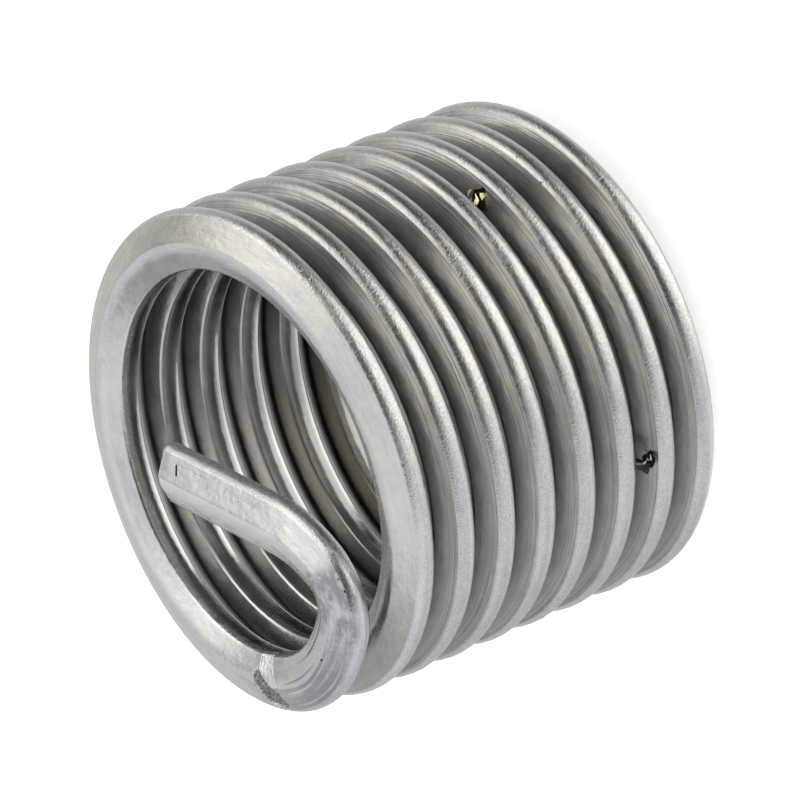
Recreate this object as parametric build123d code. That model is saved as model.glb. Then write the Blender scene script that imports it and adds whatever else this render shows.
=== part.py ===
from build123d import *
import os
from math import cos, pi, sin

# A wire thread insert: one length of diamond-section stainless wire wound into a
# right-hand coil, with its top end bent across the bore as the drive tang.
# Z is the coil's axis, the plain end stands on Z = 0 and the tang is at the top.

# ---- Coil, in its free state (mm) ----
PITCH = 1.0                    # rise of one turn, for an M8 x 1 thread
OUTER_RADIUS = 5.125           # outer crest of the wire
COIL_TURNS = 8.05              # from the cut end to where the tang bends inwards

# ---- Wire section: a diamond with flats, widest inside its middle since it was coiled ----
WIRE_HEIGHT = 1.23             # from the inner crest to the outer crest
OUTER_CREST_LAND = 0.29        # flat across the outer crest
INNER_CREST_LAND = 0.38        # flat across the inner crest
OUTER_SHOULDER = (0.03, 0.42)  # outwards from the middle, and half the wire's width there
INNER_SHOULDER = (-0.28, 0.37)

# ---- Drive tang: bends in the order the wire meets them ----
TANG_BENDS = (                 # radius to the middle of the wire, and degrees turned
    (3.30, 56.0),
    (0.95, 83.0),
    (3.05, 29.5),
)
TANG_ARM_LENGTH = 3.75         # straight arm, from the last bend to the tip

# ---- Snap-off notch, a V across the two upper flanks of the wire ----
NOTCH_BEFORE_BEND = 0.10       # from the middle of the notch to the first bend
NOTCH_DEPTH = 0.12             # below the flank
NOTCH_HALF_WIDTH = 0.28

COIL_RADIUS = OUTER_RADIUS - WIRE_HEIGHT / 2
HALF_WIDTH = max(OUTER_SHOULDER[1], INNER_SHOULDER[1])
LEAD_ANGLE_TAN = PITCH / (2 * pi * COIL_RADIUS)
OUTER_CORNER = (WIRE_HEIGHT / 2, OUTER_CREST_LAND / 2)
INNER_CORNER = (-WIRE_HEIGHT / 2, INNER_CREST_LAND / 2)


def wire_frame(turns):
    """Plane across the wire after so many turns: X points outwards, Z along the wire."""
    angle = 2 * pi * turns
    height = HALF_WIDTH + PITCH * turns
    centre = Vector(COIL_RADIUS * cos(angle), COIL_RADIUS * sin(angle), height)
    along = Vector(-sin(angle), cos(angle), LEAD_ANGLE_TAN)
    return Plane(origin=centre, x_dir=(cos(angle), sin(angle), 0), z_dir=along)


def wire_section():
    """Diamond with its long diagonal on X and its four corners cut to flats."""
    upper = [OUTER_CORNER, OUTER_SHOULDER, INNER_SHOULDER, INNER_CORNER]
    lower = [(x, -y) for x, y in reversed(upper)]
    return Sketch() + Polygon(*upper, *lower, align=None)


def coil():
    """The helical length of the wire."""
    path = Helix(PITCH, PITCH * COIL_TURNS, COIL_RADIUS, center=(0, 0, HALF_WIDTH))
    return sweep(wire_frame(0) * wire_section(), path=path, is_frenet=True)


def tang():
    """The bends, in the plane the wire arrives in, and the straight arm after them."""
    frame = wire_frame(COIL_TURNS)
    turning = Axis(frame.origin, frame.z_dir.cross(frame.x_dir * -1))
    wire = Part()
    for radius, degrees in TANG_BENDS:
        centre = frame.origin - frame.x_dir * radius
        axis = Axis(centre, turning.direction)
        wire += revolve(frame * wire_section(), axis=axis, revolution_arc=degrees)
        outwards = frame.x_dir.rotate(turning, degrees)
        frame = Plane(centre + outwards * radius, outwards, frame.z_dir.rotate(turning, degrees))
    return wire + extrude(frame * wire_section(), amount=TANG_ARM_LENGTH)


def notch():
    """V-shaped cutters lying across the outer and the inner upper flank."""
    turns_back = NOTCH_BEFORE_BEND / (2 * pi * COIL_RADIUS)
    frame = wire_frame(COIL_TURNS - turns_back)
    upwards = frame.y_dir * -1
    cutters = Part()
    for corner, shoulder in ((OUTER_CORNER, OUTER_SHOULDER), (INNER_CORNER, INNER_SHOULDER)):
        edge = frame.origin + frame.x_dir * shoulder[0] + upwards * shoulder[1]
        down_flank = frame.x_dir * (corner[0] - shoulder[0]) + upwards * (corner[1] - shoulder[1])
        flank_normal = down_flank.cross(frame.z_dir).normalized()
        flank_normal *= 1 if flank_normal.dot(upwards) > 0 else -1
        across_wire = Plane(edge, x_dir=frame.z_dir, z_dir=frame.z_dir.cross(flank_normal))
        vee = Polygon((0, -NOTCH_DEPTH), (NOTCH_HALF_WIDTH, 0), (NOTCH_HALF_WIDTH, WIRE_HEIGHT),
                      (-NOTCH_HALF_WIDTH, WIRE_HEIGHT), (-NOTCH_HALF_WIDTH, 0), align=None)
        cutters += extrude(across_wire * vee, amount=WIRE_HEIGHT, both=True)
    return cutters


insert_wire = coil() + tang() - notch()
os.makedirs("parts", exist_ok=True)
export_step(insert_wire, "parts/insert_wire.step")
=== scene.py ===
import math

import bmesh
import bpy
import numpy as np
from mathutils import Matrix, Vector


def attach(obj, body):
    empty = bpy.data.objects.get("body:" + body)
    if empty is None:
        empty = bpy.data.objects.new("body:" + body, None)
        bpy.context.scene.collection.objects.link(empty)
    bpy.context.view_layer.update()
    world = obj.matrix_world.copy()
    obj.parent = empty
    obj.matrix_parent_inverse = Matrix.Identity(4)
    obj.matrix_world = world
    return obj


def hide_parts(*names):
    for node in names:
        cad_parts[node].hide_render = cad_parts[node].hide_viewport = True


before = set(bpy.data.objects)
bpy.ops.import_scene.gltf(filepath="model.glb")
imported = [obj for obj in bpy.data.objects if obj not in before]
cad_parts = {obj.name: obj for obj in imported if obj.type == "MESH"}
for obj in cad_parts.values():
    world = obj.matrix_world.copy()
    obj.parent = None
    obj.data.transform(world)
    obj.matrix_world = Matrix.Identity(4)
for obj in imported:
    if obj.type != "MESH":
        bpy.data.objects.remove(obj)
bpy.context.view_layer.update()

TO_MM = 1000                       # millimetres in a metre
MM = 0.001                         # a millimetre, in metres

# ---------------------------------------------------------------- sizes, in metres
PITCH = 0.001
OUTER_RADIUS = 0.005125
COIL_TURNS = 8.05
WIRE_HEIGHT = 0.00123              # from the inner crest to the outer one
WIRE_WIDTH = 0.00084               # along the coil's axis
TANG_BENDS = ((0.00330, 56.0), (0.00095, 83.0), (0.00305, 29.5))      # radius, and degrees turned
TANG_ARM_LENGTH = 0.00375
NOTCH_BEFORE_BEND = 0.00010

COIL_RADIUS = OUTER_RADIUS - WIRE_HEIGHT / 2
COIL_SLOPE = PITCH / (2 * math.pi * COIL_RADIUS)
TURN_LENGTH = math.hypot(2 * math.pi * COIL_RADIUS, PITCH)
COIL_LENGTH = COIL_TURNS * TURN_LENGTH

# Corners of the upper half of the wire's section: outwards, upwards. Drawn flats lie between
# them, and free, slightly crowned lands close the crests and the sides.
OUTER_CORNER = (0.000528, 0.000203)
OUTER_SHOULDER = (0.00003, 0.00041)
INNER_SHOULDER = (-0.00028, 0.00036)
INNER_CORNER = (-0.000575, 0.00022)
SIDE_RISE = 0.00002                # how far a side land is crowned
OUTER_EASE = 0.000014              # the corners are rounded over this much each side
INNER_EASE = 0.000040
CREST_STEPS = 12
SIDE_STEPS = 10
FLANK_STEPS = 18                   # only on the upper flanks, which the notch cuts

COIL_STEP = math.radians(4.5)      # between two rings of the wire's mesh
BEND_STEP = math.radians(3)
ARM_STEP = 0.0002
NOTCH_STEP = 0.00002
NOTCH_REACH = 0.00062              # the finer rings run this far each side of the notch
EDGE_BREAK = ((0, 0.92), (0.000015, 0.96),      # how far in from an end, and the section's size
              (0.00004, 0.985), (0.00008, 1.0))
SHARP_EDGE = math.radians(60)      # edges that turn by more than this stay sharp


# ---------------------------------------------------------------- where the camera stands
CAMERA_AZIMUTH = math.radians(124.532)    # from +X, towards the tang's side
CAMERA_ELEVATION = math.radians(31.748)
CAMERA_ROLL = math.radians(111.653)       # the view's top leans this far to the right
CAMERA_DISTANCE = 0.151492
CAMERA_AIM = Vector((-0.000012, 0.000051, 0.004419))
CAMERA_LENS = 343.21
SENSOR_WIDTH = 36
NEAREST, FARTHEST = 0.01, 10              # what the camera sees lies between these distances

back = Vector((math.cos(CAMERA_ELEVATION) * math.cos(CAMERA_AZIMUTH),
               math.cos(CAMERA_ELEVATION) * math.sin(CAMERA_AZIMUTH), math.sin(CAMERA_ELEVATION)))
level_right = Vector((-back.y, back.x, 0)).normalized()
level_up = back.cross(level_right)
right = level_right * math.cos(CAMERA_ROLL) - level_up * math.sin(CAMERA_ROLL)
up = level_up * math.cos(CAMERA_ROLL) + level_right * math.sin(CAMERA_ROLL)


# ---------------------------------------------------------------- the wire's line and section
class WireLine:
    """Middle line of the wire: helix, bends, straight arm, each point with its own frame."""

    def __init__(self):
        self.spans = []
        angle = 2 * math.pi * COIL_TURNS
        point = Vector((COIL_RADIUS * math.cos(angle), COIL_RADIUS * math.sin(angle),
                        WIRE_WIDTH / 2 + PITCH * COIL_TURNS))
        along = Vector((-math.sin(angle), math.cos(angle), COIL_SLOPE)).normalized()
        outwards = Vector((math.cos(angle), math.sin(angle), 0))
        start = COIL_LENGTH
        for radius, degrees in TANG_BENDS:
            angle = math.radians(degrees)
            self.spans.append((start, radius, point.copy(), along.copy(), outwards.copy()))
            centre = point - outwards * radius
            along, outwards = self.turned(along, outwards, angle)
            point = centre + outwards * radius
            start += radius * angle
        self.arm_start = start
        self.arm = (point, along, outwards)
        self.length = start + TANG_ARM_LENGTH

    @staticmethod
    def turned(along, outwards, angle):
        return (along * math.cos(angle) - outwards * math.sin(angle),
                outwards * math.cos(angle) + along * math.sin(angle))

    def at(self, distance):
        """Point, direction along the wire and direction outwards, so far from the cut end."""
        if distance <= COIL_LENGTH:
            angle = 2 * math.pi * distance / TURN_LENGTH
            outwards = Vector((math.cos(angle), math.sin(angle), 0))
            along = Vector((-math.sin(angle), math.cos(angle), COIL_SLOPE)).normalized()
            height = WIRE_WIDTH / 2 + PITCH * distance / TURN_LENGTH
            return outwards * COIL_RADIUS + Vector((0, 0, height)), along, outwards
        if distance >= self.arm_start:
            point, along, outwards = self.arm
            return point + along * (distance - self.arm_start), along, outwards
        span = [s for s in self.spans if s[0] <= distance][-1]
        start, radius, point, along, outwards = span
        turned_along, turned_out = self.turned(along, outwards, (distance - start) / radius)
        return point - outwards * radius + turned_out * radius, turned_along, turned_out

    def stations(self):
        """Distances of the mesh's rings along the wire, with the size of the section at each."""
        notch = COIL_LENGTH - NOTCH_BEFORE_BEND
        places = list(np.arange(0, COIL_LENGTH, TURN_LENGTH * COIL_STEP / (2 * math.pi)))
        bounds = [s[0] for s in self.spans] + [self.arm_start]
        for (start, radius, *_), end in zip(self.spans, bounds[1:]):
            places += list(np.arange(start, end, radius * BEND_STEP))
        places += list(np.arange(self.arm_start, self.length, ARM_STEP))
        low, high = notch - NOTCH_REACH, notch + NOTCH_REACH
        places = [p for p in places if not low < p < high]
        places += list(np.arange(low, high, NOTCH_STEP))
        gaps, shares = zip(*EDGE_BREAK)
        ends = list(gaps) + [self.length - gap for gap in gaps]
        places = [p for p in places if gaps[-1] < p < self.length - gaps[-1]] + ends
        places = sorted(set(round(p, 9) for p in places))          # to a millionth of a millimetre
        sizes = [float(np.interp(min(p, self.length - p), gaps, shares)) for p in places]
        return places, sizes


line = WireLine()


def crowned(start, end, rise, steps):
    """Points of the arc from one corner to the next that stands so far off their chord."""
    start, end = Vector(start), Vector(end)
    chord = end - start
    out = Vector((chord.y, -chord.x)).normalized()
    radius = (chord.length ** 2 / 4 + rise ** 2) / (2 * rise)
    centre = (start + end) / 2 + out * (rise - radius)
    half = math.asin(chord.length / 2 / radius)
    turns = [half * (2 * i / steps - 1) for i in range(steps + 1)]
    return [centre + (out * math.cos(t) + chord.normalized() * math.sin(t)) * radius
            for t in turns]


def section_outline():
    """The wire's section, anticlockwise from the lower corner of the outer crest."""
    def below(corner):
        return corner[0], -corner[1]

    outer_rise = WIRE_HEIGHT / 2 - OUTER_CORNER[0]
    inner_rise = WIRE_HEIGHT / 2 + INNER_CORNER[0]
    lands = [crowned(below(OUTER_CORNER), OUTER_CORNER, outer_rise, CREST_STEPS),
             crowned(OUTER_SHOULDER, INNER_SHOULDER, SIDE_RISE, SIDE_STEPS),
             crowned(INNER_CORNER, below(INNER_CORNER), inner_rise, CREST_STEPS),
             crowned(below(INNER_SHOULDER), below(OUTER_SHOULDER), SIDE_RISE, SIDE_STEPS)]
    outline = []
    eases = (OUTER_EASE, OUTER_EASE, INNER_EASE, OUTER_EASE)
    for i, steps in enumerate((FLANK_STEPS, FLANK_STEPS, 1, 1)):
        land, following = lands[i], lands[(i + 1) % 4]
        flat = (following[0] - land[-1]).normalized()
        start, end = land[-1] + flat * eases[i], following[0] - flat * eases[(i + 1) % 4]
        outline += land + [start.lerp(end, i / steps) for i in range(steps + 1)]
    return outline


# ---------------------------------------------------------------- nodes
class Nodes:
    """A node tree under construction."""

    def __init__(self, tree):
        self.tree = tree

    def add(self, kind, settings=None, **links):
        """A node with its settings and inputs. An input goes by its name, with _ for a space, or
        by _ and its number where several share a name."""
        node = self.tree.nodes.new(kind)
        for key, value in (settings or {}).items():
            setattr(node, key, value)
        for label, value in links.items():
            key = int(label[1:]) if label[0] == "_" else label.replace("_", " ")
            self.link(value, node.inputs[key])
        return node

    def link(self, value, socket):
        if isinstance(value, bpy.types.Node):
            value = value.outputs[0]
        if isinstance(value, bpy.types.NodeSocket):
            self.tree.links.new(value, socket)
        else:
            socket.default_value = value

    def maths(self, operation, *values, clamp=False):
        node = self.add("ShaderNodeMath", {"operation": operation, "use_clamp": clamp})
        for value, socket in zip(values, node.inputs):
            self.link(value, socket)
        return node

    def vector(self, operation, *values):
        node = self.add("ShaderNodeVectorMath", {"operation": operation})
        for value, socket in zip(values, node.inputs):
            self.link(value, socket)
        return node

    def scaled(self, vector, scale):
        return self.add("ShaderNodeVectorMath", {"operation": "SCALE"}, _0=vector, Scale=scale)

    def ramp(self, value, start, end, low=0.0, high=1.0):
        """A smooth step from low to high as the value goes from start to end."""
        if start > end:
            start, end, low, high = end, start, high, low
        return self.add("ShaderNodeMapRange", {"interpolation_type": "SMOOTHSTEP"}, Value=value,
                        From_Min=start, From_Max=end, To_Min=low, To_Max=high)

    def product(self, *values):
        total = values[0]
        for value in values[1:]:
            total = self.maths("MULTIPLY", total, value)
        return total

    def greatest(self, masks):
        total = masks[0]
        for mask in masks[1:]:
            total = self.maths("MAXIMUM", total, mask)
        return total

    def rest(self, mask):
        return self.maths("SUBTRACT", 1.0, mask)

    def raised(self, base, effect, amount):
        """The base with an amount of an effect added."""
        return self.maths("MULTIPLY_ADD", effect, amount, base)

    def blend(self, under, over, share):
        return self.add("ShaderNodeMix", {"data_type": "FLOAT"}, _0=share, _2=under, _3=over)

    def tinted(self, base, tint, share):
        """The base colour turned towards a tint by a share."""
        mix = self.add("ShaderNodeMix", {"data_type": "RGBA"}, _0=share, _6=base, _7=tint)
        return mix.outputs[2]


def node_group(kind, name, inputs, outputs):
    """An empty group with its named sockets: its nodes, what it is given and what it puts out."""
    tree = bpy.data.node_groups.new(name, kind)
    for label, socket_type, value in inputs:
        socket = tree.interface.new_socket(label, in_out="INPUT", socket_type=socket_type)
        if value is not None:
            socket.default_value = value
    for label, socket_type in outputs:
        tree.interface.new_socket(label, in_out="OUTPUT", socket_type=socket_type)
    t = Nodes(tree)
    return t, t.add("NodeGroupInput").outputs, t.add("NodeGroupOutput").inputs


def wire_sweep_tree():
    """Sweeps the section along a line of edges, and stores each point's place in the wire."""
    t, given, result = node_group(
        "GeometryNodeTree", "wire_sweep",
        (("Geometry", "NodeSocketGeometry", None), ("Section", "NodeSocketObject", None),
         ("Material", "NodeSocketMaterial", None)), (("Geometry", "NodeSocketGeometry"),))
    curve = t.add("GeometryNodeMeshToCurve", Mesh=given["Geometry"])
    upright = t.add("GeometryNodeSetCurveNormal", {"mode": "Z_UP"}, Curve=curve)
    line_capture = t.add("GeometryNodeCaptureAttribute", {"domain": "POINT"}, Geometry=upright)
    line_capture.capture_items.new("FLOAT", "Distance")
    t.link(t.add("GeometryNodeSplineParameter").outputs["Length"], line_capture.inputs["Distance"])

    outline = t.add("GeometryNodeObjectInfo", Object=given["Section"])
    section = t.add("GeometryNodeMeshToCurve", Mesh=outline.outputs["Geometry"])
    section_capture = t.add("GeometryNodeCaptureAttribute", {"domain": "POINT"}, Geometry=section)
    section_capture.capture_items.new("VECTOR", "Place")
    t.link(t.add("GeometryNodeInputPosition"), section_capture.inputs["Place"])

    end_size = t.add("GeometryNodeInputNamedAttribute", {"data_type": "FLOAT"}, Name="end_size")
    swept = t.add("GeometryNodeCurveToMesh", Curve=line_capture.outputs["Geometry"],
                  Profile_Curve=section_capture.outputs["Geometry"],
                  Scale=end_size.outputs["Attribute"], Fill_Caps=True)
    across = t.add("ShaderNodeSeparateXYZ", Vector=section_capture.outputs["Place"])
    in_wire = t.add("ShaderNodeCombineXYZ", X=across.outputs["X"],
                    Y=t.maths("MULTIPLY", across.outputs["Y"], -1),
                    Z=line_capture.outputs["Distance"])
    stored = t.add("GeometryNodeStoreNamedAttribute",
                   {"data_type": "FLOAT_VECTOR", "domain": "POINT"},
                   Geometry=swept, Name="wire_place", Value=in_wire)
    smooth_shaded = t.add("GeometryNodeSetShadeSmooth", Geometry=stored)
    real = t.add("GeometryNodeRealizeInstances", Geometry=smooth_shaded)
    t.link(t.add("GeometryNodeSetMaterial", Geometry=real, Material=given["Material"]),
           result["Geometry"])
    return t.tree


def run_tree(name, mesh, tree, values):
    """The plain mesh that a tree makes of a starting mesh."""
    host = bpy.data.objects.new(name + "_start", mesh)
    bpy.context.scene.collection.objects.link(host)
    modifier = host.modifiers.new("made", "NODES")
    modifier.node_group = tree
    for item in tree.interface.items_tree:
        if item.item_type == "SOCKET" and item.in_out == "INPUT" and item.name in values:
            modifier[item.identifier] = values[item.name]
    depsgraph = bpy.context.evaluated_depsgraph_get()
    made = bpy.data.meshes.new_from_object(host.evaluated_get(depsgraph))
    bpy.data.objects.remove(host)
    made.name = name
    return made


def place_piece(name, mesh):
    piece = bpy.data.objects.new(name, mesh)
    bpy.context.scene.collection.objects.link(piece)
    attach(piece, "root")
    return piece


# ---------------------------------------------------------------- surface effects
GRAIN_BREAK_UP = 0.55              # how strongly the finer detail of the grain counts
GRAIN_CONTRAST = 4.0               # brings its heights to about -1 to 1


def grain_group():
    """Streaks or lumps about 0 high, longer one way than the other. Place is in millimetres."""
    number = "NodeSocketFloat"
    t, given, result = node_group(
        "ShaderNodeTree", "surface_grain",
        (("Place", "NodeSocketVector", None), ("Width", number, 0.05), ("Length", number, 0.5),
         ("Slant", number, 0.0), ("Detail", number, 3.0)), (("Height", number),))
    x, y, z = t.add("ShaderNodeSeparateXYZ", Vector=given["Place"]).outputs
    slid = t.maths("ADD", z, t.product(given["Slant"], t.maths("ADD", x, y)))
    scaled = t.add("ShaderNodeCombineXYZ", X=t.maths("DIVIDE", x, given["Width"]),
                   Y=t.maths("DIVIDE", y, given["Width"]),
                   Z=t.maths("DIVIDE", slid, given["Length"]))
    noise = t.add("ShaderNodeTexNoise", Vector=scaled, Scale=1.0, Detail=given["Detail"],
                  Roughness=GRAIN_BREAK_UP)
    t.link(t.product(t.maths("SUBTRACT", noise.outputs[0], 0.5), GRAIN_CONTRAST),
           result["Height"])
    return t.tree


def pits_group():
    """1 at small round pits strewn over the surface, 0 between them. Place is in millimetres."""
    number = "NodeSocketFloat"
    t, given, result = node_group(
        "ShaderNodeTree", "strewn_pits",
        (("Place", "NodeSocketVector", None), ("Spacing", number, 0.4), ("Size", number, 0.03),
         ("Share", number, 0.3)), (("Pit", number),))
    scaled = t.scaled(given["Place"], t.maths("DIVIDE", 1.0, given["Spacing"]))
    cells = t.add("ShaderNodeTexVoronoi", Vector=scaled, Scale=1.0)
    far = t.product(cells.outputs["Distance"], given["Spacing"])
    near = t.maths("LESS_THAN", far, given["Size"])
    cell_share = t.add("ShaderNodeSeparateColor", Color=cells.outputs["Color"])
    drawn = t.maths("LESS_THAN", cell_share, given["Share"])
    t.link(t.product(near, drawn), result["Pit"])
    return t.tree


GRAIN = grain_group()
PITS = pits_group()


def grain(t, place, kind):
    width, length, slant, detail = kind
    return t.add("ShaderNodeGroup", {"node_tree": GRAIN}, Place=place, Width=width, Length=length,
                 Slant=slant, Detail=detail)


def strewn_pits(t, place, kind):
    spacing, size, share = kind
    return t.add("ShaderNodeGroup", {"node_tree": PITS}, Place=place, Spacing=spacing, Size=size,
                 Share=share)


def near_point(t, place, spot, inner):
    """1 within a spot on the wire, fading from an inner share of its size to 0 outside it."""
    *centre, size = spot
    away = t.vector("DISTANCE", place, tuple(centre)).outputs["Value"]
    return t.ramp(away, size * inner, size, 1.0, 0.0)


def new_material(name, roughness):
    material = bpy.data.materials.new(name)
    material.use_nodes = True
    surface = material.node_tree.nodes["Principled BSDF"]
    surface.inputs["Metallic"].default_value = 1
    surface.inputs["Roughness"].default_value = roughness
    return material, Nodes(material.node_tree), surface


def add_relief(t, surface, relief):
    """Gives a surface its relief, in millimetres."""
    t.link(t.add("ShaderNodeBump", Height=relief, Distance=MM, Strength=1.0),
           surface.inputs["Normal"])


# ---------------------------------------------------------------- the wire's finish, in mm
COIL_MM = COIL_LENGTH * TO_MM
TURN_MM = TURN_LENGTH * TO_MM

# Grain: its width, its length along the wire, its slant and its detail
DRAWING_LINES = (0.022, 3.0, 0.0, 1.0)
STREAKS = (0.09, 3.0, 0.0, 2.0)
STRANDS = (0.065, 0.023, 0.6, 2.0)             # across the outer crest
FROST = (0.024, 0.024, 0.0, 1.5)
LUMPS = (0.20, 0.30, 0.2, 2.0)
CLOUDS = (0.30, 0.55, 0.3, 3.0)
DAPPLE = (0.085, 0.11, 0.4, 2.5)
BEND_RIDGES = (0.14, 2.4, 0.0, 1.0)
SCATTERED_PITS = (0.55, 0.016, 0.22)           # their spacing, size and share

# Zones across the section: x is outwards from its middle and y is upwards. Each fades in from its
# first place to its second. One with two pairs fades in like that from both sides.
X_OUTER_CREST = (0.50, 0.535)
X_INNER_CREST = (-0.56, -0.59)
X_INNER_HALF = (0.0, -0.3)
X_OUTER_FLANK = ((0.0, 0.06), (0.54, 0.50))
X_BY_OUTER_CORNER = ((0.20, 0.42), (0.55, 0.52))
X_SHOULDER = 0.045                             # the middle of the painted shade line along the outer shoulder
SHOULDER_FADE = (0.035, 0.012)
Y_UPPER, Y_LOWER = (0.0, 0.1), (0.0, -0.1)
Y_GROOVE_ROOT = (0.26, 0.40)                   # this and the next on both sides of the middle
Y_CREST_MIDDLE = (0.17, 0.07)

# Zones along the wire, from the start of the tang
OPEN_FADE = (-0.3, 1.5)                        # from where a turn becomes free on one side
Z_LOOSE = (0.0, 0.8)
Z_DEEP = (-2.6 * TURN_MM, -4.6 * TURN_MM)
Z_ARM = (4.6, 6.2)
Z_BEND = ((0.2, 0.8), (4.2, 2.8))
Z_RUBBED = ((0.9, 1.7), (4.6, 4.1))            # the bending tool rubbed this stretch bluish
Z_STAIN = (0.5, -0.5)

# Tone: how much each effect changes it. A pair is for the flanks between turns and for the open
# side, unless it says what else it is for.
LINES_TONE = (0.055, 0.27)                     # over a flank, beside the outer corner
LINES_LEFT = (1.0, 0.22)                       # share of the drawing lines that is left
DAPPLE_TONE = (0.03, 0.035)
STREAKS_TONE = (0.06, 0.04)
FROST_TONE = (0.035, 0.12)                     # over a flank, on the outer crest
CLOUDS_TONE, STRANDS_TONE, RIDGES_TONE, CUT_TONE = 0.08, 0.10, 0.06, 0.04
# Painted shade: darker at the roots of the flanks in the grooves between buried turns, and in the
# middle of the buried inner crest
GROOVE_PAINTED_SHADE, INNER_CREST_PAINTED_SHADE = 0.32, 0.38
DEEP_PAINTED_SHADE = (0.60, 0.08)                    # painted shade deep in the bore: over an inner flank, on the inner crest
OPEN_SIDE_PAINTED_LIGHT = (1.0, 1.17)                        # painted light: the open side is lighter than the coils' flanks
# Painted light that makes the tang's arm lighter, and painted shade for a dark line along the outer
# shoulder
ARM_PAINTED_LIGHT, SHOULDER_PAINTED_SHADE = 0.24, -0.16
SHOULDER_BROKEN = (-0.5, 0.6)                  # the streaks break the shoulder's line up
DULL_TONE, SPECKLE_TONE, SCATTERED_TONE, BLACK_TONE = 0.36, 0.45, 0.45, 0.97
TORN_TONE = (0.6, -0.5, 0.15, 0.75)            # from the frost's highs to its lows

# Colour, and how far each effect turns it towards straw or blue
STEEL_GREY = (0.545, 0.545, 0.543, 1)
STRAW = (0.57, 0.548, 0.475, 1)
BLUISH = (0.46, 0.465, 0.485, 1)
CLOUDS_STRAW = (0.22, 0.42)                    # on the open side, on the flanks between turns
DEEP_STRAW = (0.9, 0.3)                        # over an inner flank, on the inner crest
STAIN_STRAW = 0.85
CLOUDS_SPREAD, STAIN_SPREAD = (-0.7, 0.5), (-1.2, 1.2)             # the heights they fade over
DULL_BLUE, RUBBED_BLUE = 0.9, 0.6

# Roughness
WIRE_ROUGHNESS = 0.3                           # the plain value, where the pattern isn't read
FLANK_ROUGHNESS, CREST_ROUGHNESS, SIDE_ROUGHNESS = 0.225, 0.18, 0.27
CLOUDS_ROUGHNESS, TORN_ROUGHNESS, DULL_ROUGHNESS = 0.03, 0.25, 0.12

# Relief: the height of each effect
LINES_RELIEF = (0.0002, 0.0010)                # over a flank, beside the outer corner
LUMPS_RELIEF = (0.0016, 0.0022)
FROST_RELIEF = (0.0001, 0.0005, 0.003)         # over a flank, on the outer crest, where it is torn
RIDGES_RELIEF, STRANDS_RELIEF, DAPPLE_RELIEF = 0.016, 0.0025, 0.0007
CLOUDS_RELIEF, MARKS_DEPTH = 0.004, 0.01

# Marks: outwards, upwards and along the wire from the start of the tang, then the size
BLACK_PITS = (
    (0.041, 0.405, 2.422, 0.036), (0.568, 0.154, 41.679 - COIL_MM, 0.022),
    (0.523, 0.205, 40.949 - COIL_MM, 0.026), (0.562, 0.162, 64.044 - COIL_MM, 0.016),
    (0.52, 0.20, 3.95, 0.024), (0.50, 0.21, 4.12, 0.020), (0.53, 0.19, 3.70, 0.018),
    (-0.36, 0.32, 7.4, 0.018), (0.30, 0.30, 7.05, 0.016))
DULL_PATCHES = (
    (-0.10, 0.39, 3.70, 0.40), (0.15, 0.36, 4.1, 0.40), (0.45, 0.24, 4.0, 0.42),
    (0.40, 0.26, 3.4, 0.34), (-0.35, 0.33, 3.2, 0.34), (-0.15, 0.38, 4.4, 0.26))
SPECKLED = (0.36, 0.27, 9.0, 0.22)             # the speckled patch beside the slit
PIT_INNER, PATCH_INNER = 0.6, 0.5              # a mark is full within this share of its size
PATCH_BROKEN, SPECKLES_SHOWN = (-1.0, 0.6), (0.25, 0.6)
SLIT = ((0.385, 9.275), (0.185, 9.195))        # its two ends, outwards and along
SLIT_FADE = (0.022, 0.033)                     # from its middle line
SLIT_END_FADE = 0.01


def slit_mask(t, x, z, above):
    """1 on the slit mark near the tip, 0 beside it."""
    (x1, z1), (x2, z2) = SLIT
    long = math.hypot(x2 - x1, z2 - z1)
    run_x, run_z = (x2 - x1) / long, (z2 - z1) / long
    from_x = t.maths("SUBTRACT", x, (x1 + x2) / 2)
    from_z = t.maths("SUBTRACT", z, (z1 + z2) / 2)
    down = t.maths("ADD", t.product(from_x, run_x), t.product(from_z, run_z))
    beside = t.maths("ADD", t.product(from_x, -run_z), t.product(from_z, run_x))
    return t.product(t.ramp(t.maths("ABSOLUTE", beside), *SLIT_FADE, 1.0, 0.0),
                     t.ramp(t.maths("ABSOLUTE", down), long / 2 - SLIT_END_FADE,
                            long / 2 + SLIT_END_FADE, 1.0, 0.0), above)


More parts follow.
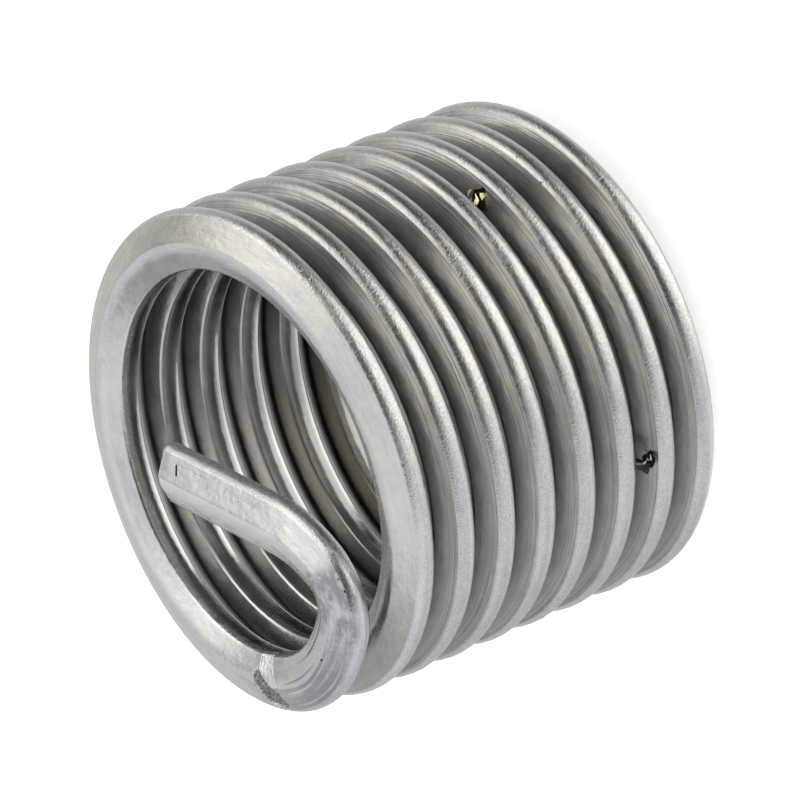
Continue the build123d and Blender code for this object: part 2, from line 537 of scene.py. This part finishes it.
def wire_material():
    material, t, surface = new_material("stainless_wire", WIRE_ROUGHNESS)
    spot = t.add("ShaderNodeAttribute", {"attribute_name": "wire_place"}).outputs["Vector"]
    place = t.vector("MULTIPLY_ADD", spot, (TO_MM, TO_MM, TO_MM), (0, 0, -COIL_MM)).outputs[0]
    x, y, z = t.add("ShaderNodeSeparateXYZ", Vector=place).outputs
    height = t.maths("ABSOLUTE", y)

    # Zones of the section and of the length
    outer_crest = t.ramp(x, *X_OUTER_CREST)
    inner_crest = t.ramp(x, *X_INNER_CREST)
    crest = t.maths("MAXIMUM", outer_crest, inner_crest)
    above = t.ramp(y, *Y_UPPER)
    near, far = OPEN_FADE
    on_top = t.product(above, t.ramp(z, near - TURN_MM, far - TURN_MM))
    first_turn = TURN_MM * (1 - COIL_TURNS)
    underneath = t.product(t.ramp(y, *Y_LOWER), t.ramp(z, first_turn - near, first_turn - far))
    open_side = t.greatest([on_top, t.ramp(z, *Z_LOOSE), underneath])
    buried = t.rest(open_side)
    corner_in, corner_out = X_BY_OUTER_CORNER
    near_corner = t.product(t.ramp(x, *corner_in), t.ramp(x, *corner_out))
    bend_in, bend_out = Z_BEND
    bend = t.product(t.ramp(z, *bend_in), t.ramp(z, *bend_out))
    deep = t.product(t.ramp(x, *X_INNER_HALF), t.ramp(z, *Z_DEEP))

    # Drawing lines along the flanks, grain across the crests, lumps all over
    lines, streaks, strands, frost, lumps, clouds, dapple, ridges = [
        grain(t, place, kind) for kind in
        (DRAWING_LINES, STREAKS, STRANDS, FROST, LUMPS, CLOUDS, DAPPLE, BEND_RIDGES)]
    drawn = t.product(lines, t.rest(crest), t.blend(*LINES_LEFT, open_side))
    crest_strands = t.product(strands, outer_crest)
    bend_ridges = t.product(ridges, bend)

    # Tone
    shade = t.raised(1.0, drawn, t.blend(*LINES_TONE, near_corner))
    shade = t.raised(shade, dapple, t.blend(*DAPPLE_TONE, open_side))
    shade = t.raised(shade, streaks, t.blend(*STREAKS_TONE, open_side))
    shade = t.raised(shade, clouds, CLOUDS_TONE)
    shade = t.raised(shade, crest_strands, STRANDS_TONE)
    shade = t.raised(shade, frost, t.blend(*FROST_TONE, outer_crest))
    # Painted shade where the grooves between buried turns get little light, and on the middle of
    # the buried inner crest
    root = t.product(buried, t.ramp(height, *Y_GROOVE_ROOT), GROOVE_PAINTED_SHADE)
    middle = t.product(buried, inner_crest, t.ramp(height, *Y_CREST_MIDDLE), INNER_CREST_PAINTED_SHADE)
    # Painted shade: the inner side is darker deeper in the bore
    deep_shade = t.product(deep, t.blend(*DEEP_PAINTED_SHADE, inner_crest))
    shade = t.product(shade, t.rest(root), t.rest(middle), t.rest(deep_shade))
    # Painted light: the open side (top of the last turn, the tang, bottom of the first turn) is
    # made lighter
    shade = t.product(shade, t.blend(*OPEN_SIDE_PAINTED_LIGHT, open_side))
    # Painted light: the tang's arm is made lighter
    shade = t.raised(shade, t.ramp(z, *Z_ARM), ARM_PAINTED_LIGHT)
    # Painted shade: a dark line along the top turn's outer shoulder, broken up by the streaks
    from_shoulder = t.maths("ABSOLUTE", t.maths("SUBTRACT", x, X_SHOULDER))
    shoulder = t.product(t.ramp(from_shoulder, *SHOULDER_FADE), on_top,
                         t.ramp(streaks, *SHOULDER_BROKEN))
    shade = t.raised(shade, shoulder, SHOULDER_PAINTED_SHADE)
    shade = t.raised(shade, bend_ridges, RIDGES_TONE)

    # Marks
    strewn = strewn_pits(t, place, SCATTERED_PITS)
    pits = t.greatest([near_point(t, place, pit, PIT_INNER) for pit in BLACK_PITS])
    black = t.greatest([pits, slit_mask(t, x, z, above)])
    patches = t.greatest([near_point(t, place, patch, PATCH_INNER) for patch in DULL_PATCHES])
    dull = t.product(patches, t.ramp(t.maths("ADD", dapple, lumps), *PATCH_BROKEN))
    speckles = t.product(near_point(t, place, SPECKLED, PATCH_INNER),
                         t.ramp(frost, *SPECKLES_SHOWN))
    torn = t.add("ShaderNodeAttribute", {"attribute_name": "torn"}).outputs["Fac"]
    cut = t.add("ShaderNodeAttribute", {"attribute_name": "cut"}).outputs["Fac"]
    for mask, amount in ((dull, DULL_TONE), (speckles, SPECKLE_TONE), (strewn, SCATTERED_TONE),
                         (torn, t.ramp(frost, *TORN_TONE))):
        shade = t.product(shade, t.rest(t.product(mask, amount)))
    shade = t.product(shade, t.raised(1.0, cut, CUT_TONE))
    shade = t.product(shade, t.rest(t.product(black, BLACK_TONE)))

    # Colour: a straw tint in the clouds and in the grooves, bluish on the bend
    flank_in, flank_out = X_OUTER_FLANK
    outer_flank = t.product(t.ramp(x, *flank_in), t.ramp(x, *flank_out))
    stain = t.product(on_top, outer_flank, t.ramp(z, *Z_STAIN))
    straw = t.maths("MAXIMUM",
                    t.product(t.ramp(clouds, *CLOUDS_SPREAD), t.blend(*CLOUDS_STRAW, buried)),
                    t.maths("MAXIMUM",
                            t.product(stain, t.ramp(clouds, *STAIN_SPREAD), STAIN_STRAW),
                            t.product(deep, t.blend(*DEEP_STRAW, inner_crest))))
    rubbed_in, rubbed_out = Z_RUBBED
    rubbed = t.product(t.ramp(z, *rubbed_in), t.ramp(z, *rubbed_out))
    blue = t.maths("MAXIMUM", t.product(dull, DULL_BLUE), t.product(rubbed, RUBBED_BLUE))
    colour = t.tinted(t.tinted(STEEL_GREY, STRAW, straw), BLUISH, blue)
    t.link(t.scaled(colour, shade), surface.inputs["Base Color"])

    # Roughness
    on_coils = t.blend(FLANK_ROUGHNESS, CREST_ROUGHNESS, crest)
    rough = t.raised(t.blend(on_coils, SIDE_ROUGHNESS, open_side), clouds, CLOUDS_ROUGHNESS)
    rough = t.raised(rough, torn, TORN_ROUGHNESS)
    rough = t.raised(rough, dull, DULL_ROUGHNESS)
    t.link(rough, surface.inputs["Roughness"])

    # Relief
    flank_frost, crest_frost, torn_frost = FROST_RELIEF
    frost_relief = t.blend(t.blend(flank_frost, crest_frost, outer_crest), torn_frost, torn)
    relief = t.product(drawn, t.blend(*LINES_RELIEF, near_corner))
    relief = t.raised(relief, bend_ridges, RIDGES_RELIEF)
    relief = t.raised(relief, crest_strands, STRANDS_RELIEF)
    relief = t.raised(relief, t.product(dapple, open_side), DAPPLE_RELIEF)
    relief = t.raised(relief, lumps, t.blend(*LUMPS_RELIEF, open_side))
    relief = t.raised(relief, t.product(clouds, open_side), CLOUDS_RELIEF)
    relief = t.raised(relief, frost, frost_relief)
    marks = t.product(t.greatest([black, strewn]), MARKS_DEPTH)
    add_relief(t, surface, t.maths("SUBTRACT", relief, marks))
    return material


# ---------------------------------------------------------------- the shavings' finish, in mm
CHIP_STREAKS = (0.03, 0.06, 0.4, 2.0)
CHIP_PITS = (0.09, 0.02, 0.3)
CHIP_STREAKS_SHOWN = (-0.2, 1.0)
CHIP_RELIEF = 0.003
CHIP_DARK_ROUGHNESS = 0.2          # how much rougher the dark streaks and spots are


def chip_material(name, base, dark, roughness):
    """One face of a metal shaving, streaked and spotted with the dark colour."""
    material, t, surface = new_material(name, roughness)
    place = t.scaled(t.add("ShaderNodeTexCoord").outputs["Object"], TO_MM).outputs[0]
    streaks = grain(t, place, CHIP_STREAKS)
    share = t.maths("MAXIMUM", t.ramp(streaks, *CHIP_STREAKS_SHOWN),
                    strewn_pits(t, place, CHIP_PITS))
    t.link(t.tinted(base, dark, share), surface.inputs["Base Color"])
    t.link(t.raised(roughness, share, CHIP_DARK_ROUGHNESS), surface.inputs["Roughness"])
    add_relief(t, surface, t.product(streaks, CHIP_RELIEF))
    return material


stainless = wire_material()


# ---------------------------------------------------------------- the wire
# The notch, in mm: a flat cut across the inner side, and torn metal across the outer side. Each row
# gives how far outwards, then where the place starts and ends along the wire from the tang's start.
CUT_SPANS = ((-0.62, -0.36, 0.09), (-0.45, -0.38, 0.14), (-0.23, -0.36, 0.22),
             (-0.05, -0.14, 0.30), (0.12, 0.02, 0.28), (0.20, 0.14, 0.16))
TORN_SPANS = ((-0.32, -0.46, -0.42), (-0.19, -0.60, -0.28), (0.03, -0.58, 0.02),
              (0.25, -0.54, 0.24), (0.41, -0.38, 0.26), (0.52, -0.12, 0.16), (0.60, -0.02, 0.10))
SPAN_MARGIN = 0.02                 # how far the spans reach past their end rows
CUT_EDGE, TORN_EDGE = 0.03, 0.05   # how wide the edges of the two places are
CUT_DEPTH, TORN_DEPTH = 0.085, 0.075
CUT_SHALLOW = 0.25                 # share of the depth where the cut starts, which then deepens
TORN_SHALLOW = 0.6                 # share of the depth where the tear is shallowest
TORN_DEEPENS = (-0.1, 0.5)         # from there it deepens outwards over this much
CUT_LUMPS, TORN_LUMPS = 0.004, 0.035
COARSE_LUMPS, FINE_LUMPS = (0.10, 5), (0.045, 8)                   # their size, and the seed
LUMP_WAVES, WAVE_TURNS, WAVES_TO_HEIGHT = 9, (4, 8), 4             # how many, how tight, divisor
CREST_TORN_IN = (0.40, 0.12, 0.05)             # the torn crest: from, over how far, how deep
NOTCH_FADE = (0.02, 0.12)          # height above the middle at which it starts, and over how much
TIP_FADE = (0.05, 0.2)
TIP_LENGTH, TIP_DEPTH = 0.26, 0.05             # the pressed place at the tip of the tang


def facing_out(mesh):
    """Turns the faces over if the closed mesh is inside out."""
    shape = bmesh.new()
    shape.from_mesh(mesh)
    if shape.calc_volume(signed=True) < 0:
        bmesh.ops.reverse_faces(shape, faces=shape.faces)
        shape.to_mesh(mesh)
    shape.free()


def wire_mesh():
    places, sizes = line.stations()
    start = bpy.data.meshes.new("wire_line")
    start.from_pydata([line.at(p)[0] for p in places],
                      [(i, i + 1) for i in range(len(places) - 1)], [])
    start.attributes.new("end_size", "FLOAT", "POINT").data.foreach_set("value", sizes)
    outline = section_outline()
    count = len(outline)
    section = bpy.data.meshes.new("wire_section")
    section.from_pydata([(x, -y, 0) for x, y in outline],
                        [(i, (i + 1) % count) for i in range(count)], [])
    section_host = bpy.data.objects.new("wire_section", section)
    bpy.context.scene.collection.objects.link(section_host)
    made = run_tree("insert_wire", start, wire_sweep_tree(),
                    {"Section": section_host, "Material": stainless})
    bpy.data.objects.remove(section_host)
    facing_out(made)
    return made


def smooth(value):
    value = np.clip(value, 0, 1)
    return value * value * (3 - 2 * value)


def within(spans, x, along, edge):
    """1 inside a band across the wire, 0 outside it, with an edge so wide. Also gives how far
    through the band each point is, from 0 to 1."""
    rows = np.array(spans)
    start, end = np.interp(x, rows[:, 0], rows[:, 1]), np.interp(x, rows[:, 0], rows[:, 2])
    inside = smooth((along - start) / edge) * smooth((end - along) / edge)
    inside = inside * (x > rows[0, 0] - SPAN_MARGIN) * (x < rows[-1, 0] + SPAN_MARGIN)
    length = np.maximum(end - start, 1e-6)         # never 0, as it divides
    return inside, np.clip((along - start) / length, 0, 1)


def lumpy(x, along, size, seed):
    """Smooth uneven heights, mostly from -1 to 1, made of waves that cross each other."""
    waves = np.random.default_rng(seed)
    total = np.zeros_like(x)
    for _ in range(LUMP_WAVES):
        turn, shift = waves.uniform(0, 2 * math.pi, 2)
        across = x * math.cos(turn) + along * math.sin(turn)
        total += np.sin(across * waves.uniform(*WAVE_TURNS) / size + shift)
    return total / WAVES_TO_HEIGHT


def work_surface(mesh):
    """Cuts and tears the notch and presses the tip, moving the upper side's points down."""
    count = len(mesh.vertices)
    points, place = np.empty(count * 3), np.empty(count * 3)
    mesh.vertices.foreach_get("co", points)
    mesh.attributes["wire_place"].data.foreach_get("vector", place)
    points, place = points.reshape(-1, 3), place.reshape(-1, 3)
    x, y = place[:, 0] * TO_MM, place[:, 1] * TO_MM
    along = (place[:, 2] - COIL_LENGTH) * TO_MM

    upper = smooth((y - NOTCH_FADE[0]) / NOTCH_FADE[1])
    torn, _ = within(TORN_SPANS, x, along, TORN_EDGE)
    cut, through = within(CUT_SPANS, x, along, CUT_EDGE)
    cut = cut * (1 - torn)
    lumps = lumpy(x, along, *COARSE_LUMPS) * 0.5 + lumpy(x, along, *FINE_LUMPS) * 0.5
    start, over = TORN_DEEPENS
    deepening = np.clip((x - start) / over, 0, 1)
    down = cut * CUT_DEPTH * (CUT_SHALLOW + (1 - CUT_SHALLOW) * through)
    down = down + torn * (TORN_DEPTH * (TORN_SHALLOW + (1 - TORN_SHALLOW) * deepening)
                          + TORN_LUMPS * lumps)
    down = down + cut * CUT_LUMPS * lumps
    to_tip = line.length * TO_MM - place[:, 2] * TO_MM
    pressed = np.clip(1 - to_tip / TIP_LENGTH, 0, 1)
    down = upper * down + smooth((y - TIP_FADE[0]) / TIP_FADE[1]) * TIP_DEPTH * pressed
    crest_start, crest_fade, crest_depth = CREST_TORN_IN
    inwards = torn * smooth((x - crest_start) / crest_fade) * crest_depth

    for i in np.nonzero((down != 0) | (inwards != 0))[0]:
        _, direction, outwards = line.at(float(place[i, 2]))
        upwards = outwards.cross(direction)
        upwards *= 1 if upwards.z > 0 else -1
        points[i] += np.array(upwards * (-down[i] / TO_MM) - outwards * (inwards[i] / TO_MM))
    mesh.vertices.foreach_set("co", points.ravel())
    for name, mask in (("torn", torn), ("cut", cut)):
        mesh.attributes.new(name, "FLOAT", "POINT").data.foreach_set("value", mask * upper)
    mesh.update()


wire = wire_mesh()
work_surface(wire)
wire.set_sharp_from_angle(angle=SHARP_EDGE)
piece = place_piece("wire_coil", wire)
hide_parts("insert_wire")


# ---------------------------------------------------------------- two metal shavings in the grooves
THICKNESS = 0.018                  # of a shaving's plates, in mm
HUNDREDTH = 0.01                   # of a millimetre, the unit of the outlines below


def flakes(name, centre, shapes, materials):
    """A crumpled shaving made of thin plates. Each shape has its outline in hundredths of a
    millimetre, to the right and up in the view, then the direction and tilt that its face leans,
    how far it stands out, and which of the materials it has."""
    made = bmesh.new()
    for outline, direction, tilt, depth, tone in shapes:
        lean, tip = math.radians(direction), math.radians(tilt)
        normal = Vector((math.sin(tip) * math.cos(lean), math.sin(tip) * math.sin(lean),
                         math.cos(tip)))
        middle = Vector((sum(p[0] for p in outline), sum(p[1] for p in outline))) / len(outline)
        rows = []
        for lift in (0, -THICKNESS):
            row = []
            for u, v in outline:
                rise = depth - (normal.x * (u - middle.x) + normal.y * (v - middle.y)) / normal.z
                local = (Vector((u, v, rise)) * HUNDREDTH + normal * lift) * MM
                row.append(made.verts.new(Vector(centre) + right * local.x + up * local.y
                                          + back * local.z))
            rows.append(row)
        front, rear = rows
        faces = [made.faces.new(front), made.faces.new(rear[::-1])]
        for i in range(len(front)):
            j = (i + 1) % len(front)
            faces.append(made.faces.new((front[j], front[i], rear[i], rear[j])))
        for face in faces:
            face.material_index = tone
    bmesh.ops.recalc_face_normals(made, faces=made.faces)
    mesh = bpy.data.meshes.new(name)
    made.to_mesh(mesh)
    made.free()
    for material in materials:
        mesh.materials.append(material)
    place_piece(name, mesh)


# The shavings' faces: the metal's own colour, a near-black painted shadow where shade falls between
# and under their plates, and a middle tone
BRIGHT, PAINTED_SHADOW, MIDDLE = 0, 1, 2
brass = [chip_material("brass_bright", (0.88, 0.84, 0.52, 1), (0.30, 0.26, 0.10, 1), 0.2),
         chip_material("brass_painted_shadow", (0.022, 0.018, 0.006, 1), (0.006, 0.005, 0.002, 1), 0.4),
         chip_material("brass_dull", (0.36, 0.33, 0.31, 1), (0.12, 0.11, 0.09, 1), 0.35)]
steel = [chip_material("shaving_bright", (0.50, 0.50, 0.49, 1), (0.20, 0.20, 0.20, 1), 0.25),
         chip_material("shaving_painted_shadow", (0.026, 0.026, 0.026, 1), (0.006, 0.006, 0.006, 1), 0.4),
         chip_material("shaving_grey", (0.085, 0.085, 0.083, 1), (0.018, 0.018, 0.018, 1), 0.4)]

BRASS_PLACE = (-0.004600, 0.001254, 0.003290)
BRASS_SHAPES = (
    (((5, 11), (16, 12), (16, 6), (10, -3), (6, 5)), 40, 38, 6, BRIGHT),
    (((-4, 11), (-2, 9), (1, 3), (4, -3), (-1, -13), (-7, -9), (-3, 2)), 140, 36, 4, BRIGHT),
    (((-8, 16), (-5, 18), (6, 20), (15, 25), (20, 19), (17, 12), (4, 13), (-5, 12)),
     90, 20, 2, PAINTED_SHADOW),
    (((-8, 13), (-5, 12), (-4, 2), (-7, -9), (-10, -3)), 90, 20, 1, PAINTED_SHADOW),
    (((-3, 12), (5, 12), (10, -4), (16, 5), (18, 12), (20, 2), (14, -10), (13, -26), (2, -18),
      (-2, -14), (4, -3), (0, 4)), 100, 14, 0, PAINTED_SHADOW),
    (((-18, 15), (-14, 19), (-9, 18), (-12, 15), (-15, 12), (-17, 4), (-19, 6)),
     140, 40, -1, MIDDLE),
    (((-15, 4), (-10, 2), (-9, -6), (-14, -2)), 140, 30, -2, MIDDLE),
)
DARK_PLACE = (0.000207, 0.004860, 0.002056)
DARK_SHAPES = (
    (((-20, 8), (-5, 3), (-7, -2), (-18, 0)), 90, 20, 4, PAINTED_SHADOW),
    (((-8, 10), (-2, 16), (3, 16), (1, 2), (-5, 0)), 95, 20, 6, PAINTED_SHADOW),
    (((-1, 15), (4, 20), (10, 23), (14, 18), (13, 13), (8, 3), (3, 8)), 95, 16, 9, PAINTED_SHADOW),
    (((8, 15), (9, 16), (11, 8), (10, 2), (8, 6)), 45, 36, 14, BRIGHT),
    (((12, 17), (19, 7), (16, -7), (9, -3), (10, 5)), 80, 20, 11, PAINTED_SHADOW),
    (((-4, -1), (1, 4), (2, 2), (-2, -4), (-6, -4)), 45, 36, 12, BRIGHT),
    (((-17, -3), (-7, -3), (-9, -5), (-17, -6)), 200, 30, 8, BRIGHT),
    (((-19, -7), (-4, -5), (0, -12), (-7, -19), (-12, -15), (-16, -17)), 180, 24, 6, MIDDLE),
    (((-4, -4), (8, -2), (11, -9), (8, -13), (6, -20), (3, -25), (-1, -22), (-6, -19), (0, -12)),
     260, 16, 6, MIDDLE),
    (((3, 3), (10, 2), (14, -5), (13, -12), (5, -8), (-1, -3)), 90, 16, 8, PAINTED_SHADOW),
)
flakes("brass_shaving", BRASS_PLACE, BRASS_SHAPES, brass)
flakes("dark_shaving", DARK_PLACE, DARK_SHAPES, steel)


# ---------------------------------------------------------------- camera
camera_data = bpy.data.cameras.new("camera")
camera_data.lens = CAMERA_LENS
camera_data.sensor_width = SENSOR_WIDTH
camera_data.clip_start, camera_data.clip_end = NEAREST, FARTHEST
camera = bpy.data.objects.new("camera", camera_data)
bpy.context.scene.collection.objects.link(camera)
turn = Matrix((right, up, back)).transposed()
camera.matrix_world = Matrix.Translation(CAMERA_AIM + back * CAMERA_DISTANCE) @ turn.to_4x4()
bpy.context.scene.camera = camera

# ---------------------------------------------------------------- studio
FLOOR_HALF = 0.4
FLOOR_PAINT = (0.8, 0.8, 0.8, 1)
FLOOR_GLOW = 0.6                   # brings the floor up to white behind the wire
WHITE = (1, 1, 1, 1)
COOL_LIGHT = (0.98, 1.0, 1.035, 1)
WARM_LIGHT = (1.0, 0.995, 0.955, 1)
WARM_ABOVE = (-0.35, 0.15)
AMBIENT = 0.75                     # the plain level of light on the floor

# What the wire mirrors. Directions are in degrees: "lean" is 0 up, 90 right and -90 left, "away" is
# 0 where the camera stands, and "side" is the lean that a slanted edge follows.
ROOM, BACKDROP = 0.95, 0.72        # where no box or card stands: in front, and behind
ROOM_ENDS = (92, 120)
SLANT = (84, 116, 0.0, 26.0)       # from where to where the slanted edge turns, and by how much
TABLE_EDGE = ("lean", -108, -92, 0.85, 0.42)   # the dark line where the pale table ends
# The parts of the surround, each over the ones before it: its level, then the fades that bound it,
# each with where it starts and where the part is full
SURROUND = (
    # a dark card low on the left, and a pale one low on the right
    (0.42, ("lean", -120, -132), ("lean", -174, -160), ("away", 84, 104), ("away", 144, 130)),
    (1.05, ("lean", 88, 102), ("lean", 134, 116), ("away", 92, 112)),
    (TABLE_EDGE, ("lean", -122, -104), ("lean", 46, 30), ("away", 100, 111), ("away", 130, 118)),
    # the soft boxes on the right and on the left, and the dark strip between them
    (1.8, ("lean", 100, 62), ("side", 12, 30), ("away", 22, 47), ("away", 135, 106)),
    (1.85, ("lean", -20, -40), ("lean", -108, -68), ("away", 34, 54), ("away", 106, 82)),
    (0.06, ("lean", -33, -15), ("side", 24, 10), ("away", 116, 98)),
)
CAMERA_SIDE = 0.1                  # the level of the dark room around the camera
DARK_ROOM_MIDDLE = 0.2             # how far it is moved to the left
DARK_ROOM_EDGE, DARK_ROOM_END = (0.85, 0.35), (-0.05, 0.1)


def shown_rays(t):
    """1 for the rays that show the background: from the camera, in gloss and through glass."""
    path = t.add("ShaderNodeLightPath")
    mirrored = t.maths("ADD", path.outputs["Is Glossy Ray"], path.outputs["Is Transmission Ray"],
                       clamp=True)
    return path.outputs["Is Camera Ray"], mirrored


def floor_paint():
    paint = bpy.data.materials.new("floor_paint")
    paint.use_nodes = True
    paint.node_tree.nodes.clear()
    t = Nodes(paint.node_tree)
    shown = t.maths("ADD", *shown_rays(t), clamp=True)
    matt = t.add("ShaderNodeBsdfDiffuse", Color=FLOOR_PAINT)
    glow = t.add("ShaderNodeEmission", Strength=t.maths("MULTIPLY", shown, FLOOR_GLOW))
    both = t.add("ShaderNodeAddShader", _0=matt, _1=glow)
    t.link(both, t.add("ShaderNodeOutputMaterial").inputs["Surface"])
    return paint


floor_mesh = bpy.data.meshes.new("floor")
floor_mesh.from_pydata([(-FLOOR_HALF, -FLOOR_HALF, 0), (FLOOR_HALF, -FLOOR_HALF, 0),
                        (FLOOR_HALF, FLOOR_HALF, 0), (-FLOOR_HALF, FLOOR_HALF, 0)],
                       [], [(0, 1, 2, 3)])
floor = bpy.data.objects.new("floor", floor_mesh)
bpy.context.scene.collection.objects.link(floor)
floor_mesh.materials.append(floor_paint())
floor.visible_glossy = False       # the wire mirrors the surround below, at the same pale level


def mirrored_level(t, direction):
    """The level that the wire mirrors from each direction, and the share of it that is warm."""
    x, y, z = [t.vector("DOT_PRODUCT", direction, tuple(axis)).outputs["Value"]
               for axis in (right, up, back)]
    lean = t.maths("DEGREES", t.maths("ARCTAN2", x, y))
    away = t.maths("DEGREES", t.maths("ARCCOSINE", z))
    measures = {"lean": lean, "away": away, "side": t.maths("SUBTRACT", lean, t.ramp(away, *SLANT))}

    def fade(measure, *steps):
        return t.ramp(measures[measure], *steps)

    level = t.ramp(away, *ROOM_ENDS, ROOM, BACKDROP)
    for part_level, *fades in SURROUND:
        if isinstance(part_level, tuple):
            part_level = fade(*part_level)
        level = t.blend(level, part_level, t.product(*[fade(*bounds) for bounds in fades]))
    across = t.maths("POWER", t.maths("ADD", x, DARK_ROOM_MIDDLE), 2)
    off = t.maths("SQRT", t.maths("ADD", across, t.product(y, y)))
    dark_room = t.product(t.ramp(off, *DARK_ROOM_EDGE), t.ramp(z, *DARK_ROOM_END))
    return t.blend(level, CAMERA_SIDE, dark_room), t.ramp(y, *WARM_ABOVE)


world = bpy.data.worlds.new("studio")
bpy.context.scene.world = world
world.use_nodes = True
t = Nodes(world.node_tree)
background = world.node_tree.nodes["Background"]
level, warmth = mirrored_level(t, t.add("ShaderNodeTexCoord").outputs["Generated"])
seen, mirrored = shown_rays(t)
t.link(t.blend(t.blend(AMBIENT, level, mirrored), 1.0, seen), background.inputs["Strength"])
t.link(t.tinted(WHITE, t.tinted(COOL_LIGHT, WARM_LIGHT, warmth), mirrored),
       background.inputs["Color"])

bpy.context.scene.view_settings.view_transform = "Standard"
